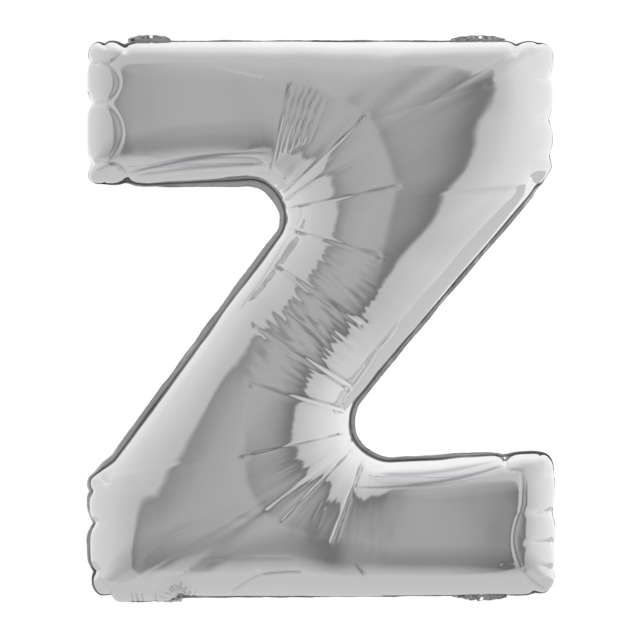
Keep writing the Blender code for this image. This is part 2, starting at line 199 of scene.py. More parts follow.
# Swells beside the welds and along the bars: x, y at both ends, half width in steps, height in mm at both ends
SWELLS = (
    (250, 305, 200, 398, 17, 3.4, 2.9), (200, 398, 146, 482, 17, 2.9, 1.0), (122, 502, 122, 578, 22, 3.8, 3.8), (513, 72, 516, 100, 22, 3.0, 3.0),
    (165, 107, 285, 107, 24, 1.5, 3.0), (99, 103, 101, 103, 9, 1.5, 1.5), (99, 163, 101, 163, 9, 1.5, 1.5), (541, 513, 540, 513, 9, 1.2, 1.2),
)

# Small dents at the far ends of the creases: x, y, depth in mm, size in steps
DIMPLES = ((363, 119, 1.6, 2.6), (395, 187, 1.8, 2.6), (379, 258, 1.2, 2.6), (244, 457, 2.0, 3.0), (250, 386, 1.0, 2.4), (362, 326, 0.9, 2.4), (254, 327, 0.9, 2.4))


def place(px, py):
    """Frame steps to metres."""
    return ((px - 320.5) * MM_PER_PX / 1000, (318 - py) * MM_PER_PX / 1000)


EYE_X, EYE_Z = place(320, 320)
SPOKES = tuple((r[0],) + place(r[1], r[2]) + place(r[3], r[4]) + (r[5],) for r in LINES)
STATION, _k = {}, END_CELLS
for _r in LINES:
    STATION[_r[0]] = _k
    _k += _r[5]
CELLS = _k + END_CELLS


# ------------------------------------------------------------------ outline
def inset(corners, distance):
    count = len(corners)
    xz = np.array([(c[1], c[2]) for c in corners])
    along = np.roll(xz, -1, axis=0) - xz
    along /= np.linalg.norm(along, axis=1)[:, None]
    inward = np.stack([along[:, 1], -along[:, 0]], axis=1)
    moved = []
    for i, (name, _, _, radius) in enumerate(corners):
        a, b = (i - 1) % count, i
        sides = np.array([inward[a], inward[b]])
        x, z = np.linalg.solve(sides, sides @ xz[i] + distance)
        convex = along[a][0] * along[b][1] - along[a][1] * along[b][0] < 0
        moved.append((name, x, z, radius - distance if convex else radius + distance))
    return moved


def fillet(corners, i, steps):
    count = len(corners)
    before, here, after = (np.array(corners[k % count][1:3]) for k in (i - 1, i, i + 1))
    t_in = (here - before) / np.linalg.norm(here - before)
    t_out = (after - here) / np.linalg.norm(after - here)
    angle, radius = math.acos(float(np.clip(t_in @ t_out, -1, 1))), corners[i][3]
    start = here - t_in * radius * math.tan(angle / 2)
    side = math.copysign(1.0, t_in[0] * t_out[1] - t_in[1] * t_out[0])
    centre = start + np.array([-t_in[1], t_in[0]]) * side * radius
    arm, out = start - centre, []
    for k in range(steps + 1):
        c, s = math.cos(side * angle * k / steps), math.sin(side * angle * k / steps)
        out.append(centre + np.array([c * arm[0] - s * arm[1], s * arm[0] + c * arm[1]]))
    return out


def side_path(corners, first, last, steps=24):
    points, i = fillet(corners, first, steps)[steps // 2:], first
    while True:
        i = (i + 1) % len(corners)
        arc = fillet(corners, i, steps)
        if i == last:
            return np.array(points + arc[: steps // 2 + 1])
        points += arc


def lengths(path):
    return np.concatenate([[0.0], np.cumsum(np.linalg.norm(np.diff(path, axis=0), axis=1))])


def at(path, s):
    run = lengths(path)
    return np.stack([np.interp(s, run, path[:, 0]), np.interp(s, run, path[:, 1])], axis=-1)


def nearest(path, point):
    run, best = lengths(path), (1e9, 0.0)
    for i in range(len(path) - 1):
        d = path[i + 1] - path[i]
        size = float(d @ d)
        if size < 1e-18:
            continue
        t = min(1.0, max(0.0, float((np.array(point) - path[i]) @ d) / size))
        off = float(np.linalg.norm(path[i] + t * d - point))
        if off < best[0]:
            best = (off, run[i] + t * math.sqrt(size))
    return best[1]


def ease(x, y, count):
    """Smooth rising values through (x, y), at count even steps of x."""
    x, y = np.array(x, float), np.array(y, float)
    h = np.diff(x)
    m = np.diff(y) / h
    d = np.zeros(len(x))
    d[0], d[-1] = m[0], m[-1]
    for k in range(1, len(x) - 1):
        if m[k - 1] * m[k] > 0:
            w1, w2 = 2 * h[k] + h[k - 1], h[k] + 2 * h[k - 1]
            d[k] = (w1 + w2) / (w1 / m[k - 1] + w2 / m[k])
    q = np.linspace(x[0], x[-1], count)
    k = np.clip(np.searchsorted(x, q, "right") - 1, 0, len(x) - 2)
    t = (q - x[k]) / h[k]
    return (
        (2 * t**3 - 3 * t**2 + 1) * y[k] + (t**3 - 2 * t**2 + t) * h[k] * d[k]
        + (3 * t**2 - 2 * t**3) * y[k + 1] + (t**3 - t**2) * h[k] * d[k + 1]
    )


def across(count):
    t = np.linspace(0, 1, count)
    return 0.75 * (1 - np.cos(np.pi * t)) / 2 + 0.25 * t


def plan(corners, nu, nv):
    """The letter's plan as a grid, nu along the strokes and nv across, from the lower left weld to the upper right one."""
    upper, lower = side_path(corners, 0, 4), side_path(corners, 5, 9)[::-1]
    end_a, end_b = side_path(corners, 9, 0), side_path(corners, 4, 5)[::-1]
    at_u, s_up, s_low, k = [0], [0.0], [0.0], END_CELLS
    for row in SPOKES:
        at_u.append(k)
        s_up.append(nearest(upper, row[1:3]))
        s_low.append(nearest(lower, row[3:5]))
        k += row[5]
    at_u.append(CELLS)
    s_up.append(lengths(upper)[-1])
    s_low.append(lengths(lower)[-1])
    hi, lo = at(upper, ease(at_u, s_up, nu)), at(lower, ease(at_u, s_low, nu))
    i, v = np.linspace(0, CELLS, nu), across(nv)
    fade_a = np.clip(1 - i / END_CELLS, 0, 1) ** 2
    fade_b = np.clip((i - (CELLS - END_CELLS)) / END_CELLS, 0, 1) ** 2
    bow = []
    for end in (end_a, end_b):
        e = at(end, v * lengths(end)[-1])
        bow.append(e - (1 - v)[:, None] * e[0] - v[:, None] * e[-1])
    return (
        (1 - v)[None, :, None] * lo[:, None] + v[None, :, None] * hi[:, None]
        + fade_a[:, None, None] * bow[0][None] + fade_b[:, None, None] * bow[1][None]
    )


def gathered(points):
    """The plan with its weld drawn in at the pinches of the ends."""
    moved = np.array(points, float)
    for _, px, py, dx, dy, reach, _, _ in PINCHES:
        x, z = place(px, py)
        far = np.hypot(points[..., 0] - x, points[..., 1] - z) * 1000 / MM_PER_PX
        pull = np.exp(-far / (0.55 * reach)) * np.clip(1.6 - far / reach, 0, 1)
        moved[..., 0] += dx * pull * MM_PER_PX / 1000
        moved[..., 1] -= dy * pull * MM_PER_PX / 1000
    x, y = 320.5 + points[..., 0] * 1000 / MM_PER_PX, 318 - points[..., 1] * 1000 / MM_PER_PX
    right, down, share = np.zeros(x.shape), np.zeros(x.shape), np.zeros(x.shape)
    for x0, y0, x1, y1, dx0, dy0, dx1, dy1, reach in SHIFTS:
        far, t = from_line(x, y, x0, y0, x1, y1)
        pull, t = np.exp(-((far / reach) ** 2)), np.clip(t, 0, 1)
        right += (dx0 + (dx1 - dx0) * t) * pull
        down += (dy0 + (dy1 - dy0) * t) * pull
        share += pull
    moved[..., 0] += right / np.maximum(share, 1.0) * MM_PER_PX / 1000
    moved[..., 1] -= down / np.maximum(share, 1.0) * MM_PER_PX / 1000
    return moved


def screened(grid):
    """Square of the inflated height over a coarse plan: a screened Poisson equation, zero on the weld."""
    rows, cols = grid.shape[:2]
    points = grid.reshape(-1, 2)
    index = np.arange(rows * cols).reshape(rows, cols)
    a, b, c, d = index[:-1, :-1], index[1:, :-1], index[1:, 1:], index[:-1, 1:]
    tris = np.concatenate([np.stack(t, axis=-1).reshape(-1, 3) for t in ((a, b, c), (a, c, d), (a, b, d), (b, c, d))])
    p = points[tris]
    e = np.stack([p[:, 2] - p[:, 1], p[:, 0] - p[:, 2], p[:, 1] - p[:, 0]], axis=1)
    area = 0.5 * np.abs(e[:, 0, 0] * e[:, 1, 1] - e[:, 0, 1] * e[:, 1, 0]) + 1e-15
    local = np.einsum("nik,njk->nij", e, e) / (4 * area)[:, None, None]
    half = 0.5 * STROKE
    push = (half / SPREAD) ** 2 / (1 - 1 / math.cosh(half / SPREAD))
    stiff, load = np.zeros((len(points), len(points))), np.zeros(len(points))
    for i in range(3):
        np.add.at(load, tris[:, i], push * area / 3)
        for j in range(3):
            np.add.at(stiff, (tris[:, i], tris[:, j]), local[:, i, j] + area / SPREAD**2 * (1 / 6 if i == j else 1 / 12))
    free = index[1:-1, 1:-1].ravel()
    value = np.zeros(len(points))
    value[free] = np.linalg.solve(stiff[np.ix_(free, free)], load[free])
    return np.maximum(value, 0).reshape(rows, cols)


def spline(g, x):
    """Catmull-Rom values of a grid at places x of its rows."""
    i = np.clip(x.astype(int), 0, g.shape[0] - 2)
    t = (x - i).reshape((-1,) + (1,) * (g.ndim - 1))
    ext = np.concatenate([[2 * g[0] - g[1]], g, [2 * g[-1] - g[-2]]])
    p0, p1, p2, p3 = ext[i], ext[i + 1], ext[i + 2], ext[i + 3]
    return 0.5 * (2 * p1 + (p2 - p0) * t + (2 * p0 - 5 * p1 + 4 * p2 - p3) * t * t + (3 * p1 - p0 - 3 * p2 + p3) * t**3)


def resample_at(grid, rows, nv):
    return spline(np.swapaxes(spline(np.swapaxes(grid, 0, 1), np.linspace(0, grid.shape[1] - 1, nv)), 0, 1), rows)


def resample(grid, nu, nv):
    return resample_at(grid, np.linspace(0, grid.shape[0] - 1, nu), nv)


def fuller_ends(i):
    """The gathered ends rise more steeply than the sides: a place this many cells along has the height of this one."""
    def push(cells):
        return END_PUSH * (cells / END_REACH) * np.exp(1 - cells / END_REACH)
    return i + push(i) - push(CELLS - i)


# ------------------------------------------------------------------ the film
class Film:
    """A grid of film points held at its own lengths and pushed outwards by the gas. The front is towards -Y."""

    def __init__(self, rest_shape, start, extra_u, extra_v):
        base = rest_shape
        self.nu, self.nv = base.shape[:2]
        self.p = [np.ascontiguousarray(start[..., k], dtype=np.float32) for k in range(3)]
        self.v = [np.zeros_like(self.p[0]) for _ in range(3)]
        self.pairs = []
        every = slice(None)
        for o in (0, 1):
            m = (self.nu - o) // 2 * 2
            self.pairs.append(((slice(o, o + m, 2), every), (slice(o + 1, o + m + 1, 2), every), "u"))
        for o in (0, 1):
            m = (self.nv - o) // 2 * 2
            self.pairs.append(((every, slice(o, o + m, 2)), (every, slice(o + 1, o + m + 1, 2)), "v"))
        for o in (0, 1):
            m = (self.nu - o) // 2 * 2
            self.pairs.append(((slice(o, o + m, 2), slice(0, -1)), (slice(o + 1, o + m + 1, 2), slice(1, None)), "d"))
            self.pairs.append(((slice(o, o + m, 2), slice(1, None)), (slice(o + 1, o + m + 1, 2), slice(0, -1)), "d"))
        du = np.empty_like(base)
        du[:-1], du[-1] = base[1:] - base[:-1], base[-1] - base[-2]
        du /= np.linalg.norm(du, axis=-1, keepdims=True) + 1e-12
        self.rest = []
        for a, b, way in self.pairs:
            d = base[b] - base[a]
            size2 = (d**2).sum(-1)
            eu, ev = 1 + 0.5 * (extra_u[a] + extra_u[b]), 1 + 0.5 * (extra_v[a] + extra_v[b])
            if way == "u":
                rest = np.sqrt(size2) * eu
            elif way == "v":
                rest = np.sqrt(size2) * ev
            else:
                part = (d * du[a]).sum(-1)
                rest = np.sqrt((part * eu) ** 2 + np.maximum(size2 - part**2, 0) * ev**2)
            self.rest.append(rest.astype(np.float32))
        self.hu = (np.linalg.norm(base[1:] - base[:-1], axis=-1) + 1e-6).astype(np.float32)
        self.hv = (np.linalg.norm(base[:, 1:] - base[:, :-1], axis=-1) + 1e-6).astype(np.float32)
        self.edge = np.ones((self.nu, self.nv), bool)
        self.edge[1:-1, 1:-1] = False
        self.held = [base[..., k].astype(np.float32)[self.edge] for k in range(3)]
        self.cap = None

    def normals(self):
        def gu(q):
            g = np.empty_like(q)
            g[1:-1], g[0], g[-1] = q[2:] - q[:-2], q[1] - q[0], q[-1] - q[-2]
            return g

        def gv(q):
            g = np.empty_like(q)
            g[:, 1:-1], g[:, 0], g[:, -1] = q[:, 2:] - q[:, :-2], q[:, 1] - q[:, 0], q[:, -1] - q[:, -2]
            return g

        a, b = [gu(q) for q in self.p], [gv(q) for q in self.p]
        n = [a[1] * b[2] - a[2] * b[1], a[2] * b[0] - a[0] * b[2], a[0] * b[1] - a[1] * b[0]]
        size = np.sqrt(n[0] ** 2 + n[1] ** 2 + n[2] ** 2) + 1e-12
        if self.cap is None:
            self.mean, self.cap = float(size.mean()), size * 1.3
        return [q / size for q in n], np.minimum(size, self.cap) / self.mean

    def bend(self, amount, n):
        d = np.zeros_like(self.p[0])
        h0, h1, g0, g1 = self.hu[:-1], self.hu[1:], self.hv[:, :-1], self.hv[:, 1:]
        wu, wv, bu, bv = 1 / (h0 + h1), 1 / (g0 + g1), 0, 0
        for k in range(3):
            q = self.p[k]
            bu = bu + ((q[2:] - q[1:-1]) * (h0 * wu) + (q[:-2] - q[1:-1]) * (h1 * wu)) * n[k][1:-1]
            bv = bv + ((q[:, 2:] - q[:, 1:-1]) * (g0 * wv) + (q[:, :-2] - q[:, 1:-1]) * (g1 * wv)) * n[k][:, 1:-1]
        d[1:-1] += bu
        d[2:] -= 0.5 * bu
        d[:-2] -= 0.5 * bu
        d[:, 1:-1] += bv
        d[:, 2:] -= 0.5 * bv
        d[:, :-2] -= 0.5 * bv
        d *= amount
        for k in range(3):
            self.p[k] += d * n[k]

    def hold_lengths(self):
        for (a, b, _), rest in zip(self.pairs, self.rest):
            pa, pb = [p[a] for p in self.p], [p[b] for p in self.p]
            dx, dy, dz = pb[0] - pa[0], pb[1] - pa[1], pb[2] - pa[2]
            size = np.sqrt(dx * dx + dy * dy + dz * dz) + 1e-9
            c = 0.5 * (size - rest) / size
            dx *= c
            dy *= c
            dz *= c
            for one, move in zip(pa, (dx, dy, dz)):
                one += move
            for one, move in zip(pb, (dx, dy, dz)):
                one -= move

    def step(self, push, keep, stiffness):
        n, area = self.normals()
        area = area * push
        old = [p.copy() for p in self.p]
        for k in range(3):
            self.p[k] += self.v[k] * keep + n[k] * area
        self.bend(stiffness, n)
        self.hold_lengths()
        np.minimum(self.p[1], 0, out=self.p[1])
        for k in range(3):
            self.p[k][self.edge] = self.held[k]
            self.v[k] = self.p[k] - old[k]

    def shape(self):
        return np.stack(self.p, axis=-1).astype(float)


def inflate(seed, levels, slack, stiffness, push, share):
    seam = inset(CORNERS, BORDER)
    phi = screened(plan(seam, 101, 23))
    rng = np.random.default_rng(seed)
    shape = None
    for level, (nu, nv, steps) in enumerate(levels):
        flat = gathered(plan(seam, nu, nv))
        h = np.sqrt(np.maximum(resample_at(phi, fuller_ends(np.linspace(0, CELLS, nu)) / CELLS * 100, nv), 0))
        h[0] = h[-1] = 0
        h[:, 0] = h[:, -1] = 0
        base = np.stack([flat[..., 0], -h, flat[..., 1]], axis=-1)
        i, v = np.linspace(0, CELLS, nu), across(nv)
        s = STATION

        def window(a, b, ramp):
            return np.clip((i - a) / ramp, 0, 1) * np.clip((b - i) / ramp, 0, 1)

        def rise(x, peak, end):
            return np.where(x < peak, (x / peak) ** 0.8, np.clip((end - x) / (end - peak), 0, 1) ** 1.5)

        fan = (
            window(s["a1"] - 6, s["e"] + 8, 6)[:, None] * rise(v, 0.30, 0.62)[None]
            + window(s["e2"] - 8, s["a1_2"] + 6, 6)[:, None] * rise(1 - v, 0.30, 0.62)[None]
        )
        extra_u = slack * fan
        extra_v = np.zeros_like(fan)
        if shape is None:
            shape = base.copy()
            lines = [s["a1"] + k * (s["a4"] - s["a1"]) / 6 for k in range(7)] + [s[k] for k in "bcde"]
            lines += [s[k] for k in ("e2", "d2", "c2", "b2")] + [s["a4_2"] + k * (s["a1_2"] - s["a4_2"]) / 6 for k in range(7)]
            dent = np.clip(sum(np.exp(-(((i - at_line) / 0.7) ** 2)) for at_line in lines), 0, 1)
            shape[..., 1] += 0.004 * dent[:, None] * fan + 0.0001 * rng.standard_normal(fan.shape) * (h > 0)
        else:
            shape = resample(shape, nu, nv)
        film = Film(base, shape, extra_u, extra_v)
        for _ in range(steps):
            film.step(push / 4**level, 0.95, stiffness)
        shape = film.shape()
    return base + share * (shape - base)


def as_shown(shape):
    """Where the points of the front show, in the letter's 640 step square."""
    near = DISTANCE / (DISTANCE + shape[..., 1])
    x = 320 + (shape[..., 0] - EYE_X) * near * 1000 / MM_PER_PX
    y = 320 - (shape[..., 2] - EYE_Z) * near * 1000 / MM_PER_PX
    return x, y


def from_line(x, y, x0, y0, x1, y1):
    """Distance of the points from a line, and how far along it they are."""
    dx, dy = x1 - x0, y1 - y0
    size2 = dx * dx + dy * dy
    t = ((x - x0) * dx + (y - y0) * dy) / size2
    near = np.clip(t, 0, 1)
    return np.hypot(x - x0 - near * dx, y - y0 - near * dy), t


def from_bow(x, y, bow):
    far, side = np.full(x.shape, 1e9), np.zeros(x.shape)
    for (x0, y0), (x1, y1) in zip(bow, bow[1:]):
        d, _ = from_line(x, y, x0, y0, x1, y1)
        cross = (x1 - x0) * (y - y0) - (y1 - y0) * (x - x0)
        side = np.where(d < far, np.sign(cross), side)
        far = np.minimum(far, d)
    return far, side


def from_curve(x, y, row, pieces=9):
    """Distance of the points from a curve through three points, the side they are on, and how far along they are."""
    x0, y0, xm, ym, x1, y1 = row
    cx, cy = 2 * xm - (x0 + x1) / 2, 2 * ym - (y0 + y1) / 2
    s = np.linspace(0, 1, pieces + 1)
    px, py = (1 - s) ** 2 * x0 + 2 * s * (1 - s) * cx + s**2 * x1, (1 - s) ** 2 * y0 + 2 * s * (1 - s) * cy + s**2 * y1
    far, side, along = np.full(x.shape, 1e9), np.zeros(x.shape), np.zeros(x.shape)
    for k in range(pieces):
        d, t = from_line(x, y, px[k], py[k], px[k + 1], py[k + 1])
        cross = (px[k + 1] - px[k]) * (y - py[k]) - (py[k + 1] - py[k]) * (x - px[k])
        nearer = d < far
        lo, hi = (-9 if k == 0 else 0), (9 if k == pieces - 1 else 1)
        side, along = np.where(nearer, np.sign(cross), side), np.where(nearer, (k + np.clip(t, lo, hi)) / pieces, along)
        far = np.minimum(far, d)
    return far, side, along


def smooth(x):
    x = np.clip(x, 0, 1)
    return x * x * (3 - 2 * x)


def streaks(rng, count_u, count_v, nu, nv):
    """Streaks that run across the strokes: fine along the grid, long across it."""
    return resample(rng.standard_normal((count_u, count_v)), nu, nv)


def surface_normals(shape):
    gu, gv = np.gradient(shape, axis=0), np.gradient(shape, axis=1)
    n = np.cross(gu, gv)
    n /= np.linalg.norm(n, axis=-1, keepdims=True) + 1e-12
    return n


def creased(shape, seed):
    """Puts the creases, the bows, the grooves at the pinches and the fine pleats into the film, and returns fold, a
    painted shade that darkens the colour along the creases, dimples and pleat valleys.
    """
    rng = np.random.default_rng(seed)
    nu, nv = shape.shape[:2]
    x, y = as_shown(shape)
    depth = -shape[..., 1]
    off_weld = smooth(depth / 0.030)
    rise = np.zeros((nu, nv))
    # fold is painted shade: darker colour along the middles of creases, pillow edges, the neck, dimples and pleat
    # valleys
    fold = np.zeros((nu, nv))
    # grooves at the pinches of the ends
    near_weld = smooth(depth / 0.008)
    for _, px, py, dx, dy, reach, length, deep in PINCHES:
        size = math.hypot(dx, dy)
        ux, uy = dx / size, dy / size
        d, t = from_line(x, y, px, py, px + ux * length, py + uy * length)
        rise -= deep * np.exp(-d / (0.30 * reach)) * near_weld * (1 - smooth((t - 0.35) / 0.65))
    # creases, and the edges of the pillows at the ends
    facing = smooth((-surface_normals(shape)[..., 1] - 0.22) / 0.30)
    step = np.hypot(np.gradient(x, axis=0), np.gradient(y, axis=0))
    fine, blunt = np.maximum(0.9, 0.75 * step), np.minimum(1, 1.2 / np.maximum(0.9, 0.75 * step))
    for table, free, shade_share in (
        (CREASES, off_weld * facing, 0.75), (PILLOWS, smooth(depth / 0.012) * facing, 0.25), (NECK, smooth(depth / 0.010), 0.5),
    ):
        for x0, y0, x1, y1, deep, half in table:
            d, t = from_line(x, y, x0, y0, x1, y1)
            lead = 3.0 / math.hypot(x1 - x0, y1 - y0)
            run = smooth((t + 2 * lead) / (2 * lead)) * smooth((1 + 2 * lead - t) / (2 * lead)) * free
            run *= 0.72 + 0.28 * np.sin(17 * t + x0)
            if table is not CREASES:
                run *= smooth((1.1 - t) / 0.7)
            rise -= run * deep * (0.55 * np.exp(-d / half) + 0.45 * blunt * np.exp(-((d / np.maximum(0.55 + 0.22 * half, fine)) ** 2)))
            if deep >= 1.0:
                # painted shade along the crease's middle
                fold = np.maximum(fold, run * shade_share * min(1.0, deep / 2.0) * blunt * np.exp(-((d / fine) ** 2)))
    for row in CURVES:
        deep, half, drop, painted_shade = row[6:]
        d, side, t = from_curve(x, y, row[:6])
        size = math.hypot(row[4] - row[0], row[5] - row[1])
        lead = max(0.12, 4.0 / size)
        run = smooth((t + 0.3 * lead) / lead) * smooth((1 + 0.3 * lead - t) / lead)
        width = np.maximum(half, fine)
        rise -= run * near_weld * facing * deep * (0.5 * np.exp(-d / width) + 0.5 * np.exp(-((d / width) ** 2)))
        if painted_shade:
            # painted shade along the curved crease
            fold = np.maximum(fold, painted_shade * run * facing * np.exp(-((d / np.maximum(1.0, fine)) ** 2)))
        if drop:
            rise -= run * off_weld * abs(drop) * (side * drop > 0) * (1 - np.exp(-d / 5.0)) * smooth(2 - d / 24)
    for px, py, wide, tall, high in DOMES:
        rise += high * near_weld * np.maximum(0, 1 - ((x - px) / wide) ** 2 - ((y - py) / tall) ** 2) ** 0.7
    swell = np.zeros((nu, nv))
    for x0, y0, x1, y1, half, high0, high1 in SWELLS:
        d, t = from_line(x, y, x0, y0, x1, y1)
        swell = np.maximum(swell, (high0 + (high1 - high0) * np.clip(t, 0, 1)) * np.exp(-((d / half) ** 2)))
    rise += swell * near_weld
    for px, py, deep, size in DIMPLES:
        far = np.hypot(x - px, y - py)
        rise -= deep * np.exp(-((far / size) ** 2))
        # painted shade in the dimple
        fold = np.maximum(fold, 0.8 * np.exp(-((far / 1.6) ** 2)))
    # bows
    fan = np.zeros((nu, nv))
    for high, fade_in, fade_out, bow in BOWS:
        far, side = from_bow(x, y, bow)
        inside = side > 0
        (ax, ay), (bx, by) = bow[0], bow[-1]
        ends = smooth(np.hypot(x - ax, y - ay) / 50) * smooth(np.hypot(x - bx, y - by) / 200)
        round_far = np.sqrt(far**2 + 1.5**2) - 1.5
        fade = np.where(inside, fade_in, fade_out)
        shape_off = np.where(fade < 60, np.exp(-round_far / (0.5 * fade)), np.clip(1 - round_far / fade, 0, 1) ** 2)
        rise += high * ends * off_weld * shape_off
        fan = np.maximum(fan, np.where(inside, smooth((far + 6) / 12), smooth(1 - far / 6) * 0.4) * smooth(1 - far / 150))
    # fine pleats
    band = smooth((x - 225) / 25) * smooth((415 - x) / 25) * smooth((y - 70) / 20) * smooth((570 - y) / 20)
    out, along = 0.79 * (x - 309) + 0.61 * (y - 324), 0.61 * (x - 309) - 0.79 * (y - 324)
    middle = np.exp(-((out / 36) ** 4) - (along / 52) ** 2)
    thin = streaks(rng, 400, 17, nu, nv)
    zigzag = np.zeros((nu, nv))
    for px, py, reach in ZIGZAGS:
        zigzag = np.maximum(zigzag, np.exp(-(((x - px) ** 2 + (y - py) ** 2) / reach**2)))
    apart = np.clip(np.hypot(np.gradient(x, axis=0), np.gradient(y, axis=0)) * nu / 881 / 1.1, 0, 1) ** 1.3
    pleats = apart * (thin * (0.03 + 0.46 * middle + 0.30 * zigzag) + streaks(rng, 200, 11, nu, nv) * (0.03 + 0.16 * middle + 0.10 * zigzag))
    # painted shade in the deepest pleat valleys
    fold = np.maximum(fold, 0.55 * middle * smooth((-thin - 1.0) / 0.8))
    rise += band * off_weld * pleats * (0.35 + 0.65 * np.clip(fan + middle, 0, 1))
    # slow unevenness of the whole film
    rise += off_weld * (0.35 * streaks(rng, 60, 7, nu, nv) + 0.5 * streaks(rng, 22, 5, nu, nv))
    return shape + surface_normals(shape) * (rise / 1000)[..., None], fold


def grid_mesh(name, shape, fold, flip=False):
    nu, nv = shape.shape[:2]
    index = np.arange(nu * nv).reshape(nu, nv)
    quads = np.stack([index[:-1, :-1], index[:-1, 1:], index[1:, 1:], index[1:, :-1]], axis=-1).reshape(-1, 4)
    if flip:
        quads = quads[:, ::-1]
    mesh = bpy.data.meshes.new(name)
    mesh.from_pydata(shape.reshape(-1, 3).tolist(), [], quads.tolist())
    mesh.update()
    mesh.shade_smooth()
    # The fold attribute carries painted shade: how much the material darkens the colour here.
    mesh.attributes.new("fold", "FLOAT", "POINT").data.foreach_set("value", fold.ravel().astype(np.float32))
    obj = bpy.data.objects.new(name, mesh)
    bpy.context.scene.collection.objects.link(obj)
    return obj


# ------------------------------------------------------------------ materials
def principled(name, colour, metallic, roughness):
    material = bpy.data.materials.new(name)
    material.use_nodes = True
    shader = material.node_tree.nodes["Principled BSDF"]
    shader.inputs["Base Color"].default_value = (*colour, 1.0)
    shader.inputs["Metallic"].default_value = metallic
    shader.inputs["Roughness"].default_value = roughness
    return material, material.node_tree, shader


def foil(name, colour, roughness, crinkle, scale):
    material, tree, shader = principled(name, colour, 1.0, roughness)
    coords = tree.nodes.new("ShaderNodeTexCoord")
    noise = tree.nodes.new("ShaderNodeTexNoise")
    noise.inputs["Scale"].default_value = scale
    noise.inputs["Detail"].default_value = 3.0
    bump = tree.nodes.new("ShaderNodeBump")
    bump.inputs["Strength"].default_value = crinkle
    bump.inputs["Distance"].default_value = 0.001
    tree.links.new(coords.outputs["Object"], noise.inputs["Vector"])
    tree.links.new(noise.outputs["Fac"], bump.inputs["Height"])
    tree.links.new(bump.outputs["Normal"], shader.inputs["Normal"])
    return material


def skin(name, colour, painted_shade, roughness, crinkle, scale):
    """Mirror foil whose base colour is darkened along the sharp folds as painted shade, read from the fold attribute,
    and whose roughness rises there.
    """
    material = foil(name, colour, roughness, crinkle, scale)
    tree = material.node_tree
    shader = tree.nodes["Principled BSDF"]
    shade_attribute = tree.nodes.new("ShaderNodeAttribute")
    shade_attribute.attribute_name = "fold"
    blend = tree.nodes.new("ShaderNodeMix")
    blend.data_type = "RGBA"
    blend.inputs["A"].default_value = (*colour, 1.0)
    blend.inputs["B"].default_value = (*painted_shade, 1.0)
    dull = tree.nodes.new("ShaderNodeMapRange")
    dull.inputs["To Min"].default_value = roughness
    dull.inputs["To Max"].default_value = 0.30
    tree.links.new(shade_attribute.outputs["Fac"], blend.inputs["Factor"])
    tree.links.new(shade_attribute.outputs["Fac"], dull.inputs["Value"])
    tree.links.new(blend.outputs["Result"], shader.inputs["Base Color"])
    tree.links.new(dull.outputs["Result"], shader.inputs["Roughness"])
    return material


# ------------------------------------------------------------------ build
LEVELS = ((221, 29, 400), (441, 57, 400), (881, 113, 240))
# The skins' second, darker colour is painted shade, laid along the folds and creases.
SKIN = skin("foil_silver", (0.84, 0.84, 0.85), (0.34, 0.34, 0.35), 0.055, 0.06, 60.0)
SKIN_BACK = skin("foil_silver_back", (0.84, 0.84, 0.85), (0.34, 0.34, 0.35), 0.055, 0.06, 60.0)
# The weld's near-black second colour is painted shadow, laid at the joint with the skin and along the outer edge.
WELD = skin("foil_weld", (0.66, 0.66, 0.67), (0.07, 0.07, 0.07), 0.26, 0.5, 260.0)
TAB = foil("foil_tab", (0.55, 0.55, 0.56), 0.22, 0.5, 240.0)
TAIL = foil("foil_tail", (0.66, 0.66, 0.67), 0.20, 0.5, 120.0)

film = inflate(5, LEVELS, 0.04, 0.02, 1.0e-5, 0.19)
for name, side, seed, node, slot, material in (
    ("front_foil", 1.0, 11, "front_panel", "front_panel_foil", SKIN),
    ("back_foil", -1.0, 29, "back_panel", "back_panel_foil", SKIN_BACK),
):
    shape, fold = creased(film, seed)
    shape[..., 1] -= RIM_Y
    shape *= (1.0, side, 1.0)
    if side < 0:
        back_shape = shape
    foil_skin = grid_mesh(name, shape, fold, flip=side < 0)
    foil_skin.data.materials.append(material)
    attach(foil_skin, "root")
    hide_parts(node)

TAIL_X, TAIL_WIDTH, TAIL_FROM, TAIL_TO = -0.238, 0.038, 0.0, 40.0
TAIL_MIDDLE_Y, TAIL_MIDDLE_Z = 0.0, -0.32875


def closed_seam(count):
    """The weld line all round, evenly spaced, and its outward directions."""
    seam = inset(CORNERS, BORDER)
    loop = np.concatenate([fillet(seam, k, 24) for k in range(len(seam))])
    loop = gathered(at(np.concatenate([loop, loop[:1]]), np.linspace(0, lengths(np.concatenate([loop, loop[:1]]))[-1], 6 * count)))
    run = lengths(loop)
    path = at(loop, np.linspace(0, run[-1], count + 1))[:-1]
    along = np.roll(path, -2, axis=0) - np.roll(path, 2, axis=0)
    along /= np.linalg.norm(along, axis=1)[:, None]
    return path, np.stack([-along[:, 1], along[:, 0]], axis=1)


def ripple(rng, count, waves):
    """A closed smooth random line."""
    g = rng.standard_normal(waves)
    g = np.concatenate([g, g[:4]])
    return spline(g, 1 + np.linspace(0, waves, count, endpoint=False))


# Where the welded border shows wider or narrower, in the same steps: x, y at both ends of a stretch, reach, more
# width in mm at its first and at its second end
BORDER_WIDTHS = (
    (140, 187, 258, 187, 16, 0.5, 9.5), (270, 192, 284, 212, 16, 9.0, 6.0), (282, 230, 262, 262, 16, 5.0, 6.5), (252, 275, 108, 460, 18, 7.0, 6.5),
    (530, 196, 400, 358, 18, 3.0, 4.0), (385, 375, 360, 408, 16, 4.5, 4.0), (356, 420, 364, 448, 16, 3.6, 4.0), (375, 457, 440, 457, 16, 3.0, 2.5),
    (455, 455, 545, 455, 14, 2.0, 0.0), (90, 55, 90, 182, 16, -2.8, -2.8), (551, 50, 551, 180, 18, -3.0, -3.0), (553, 465, 553, 588, 18, -2.8, -2.8),
    (112, 600, 178, 600, 12, -1.6, -1.6), (87, 488, 87, 506, 9, 3.0, 3.0), (88, 536, 88, 558, 10, 3.2, 3.2),
)


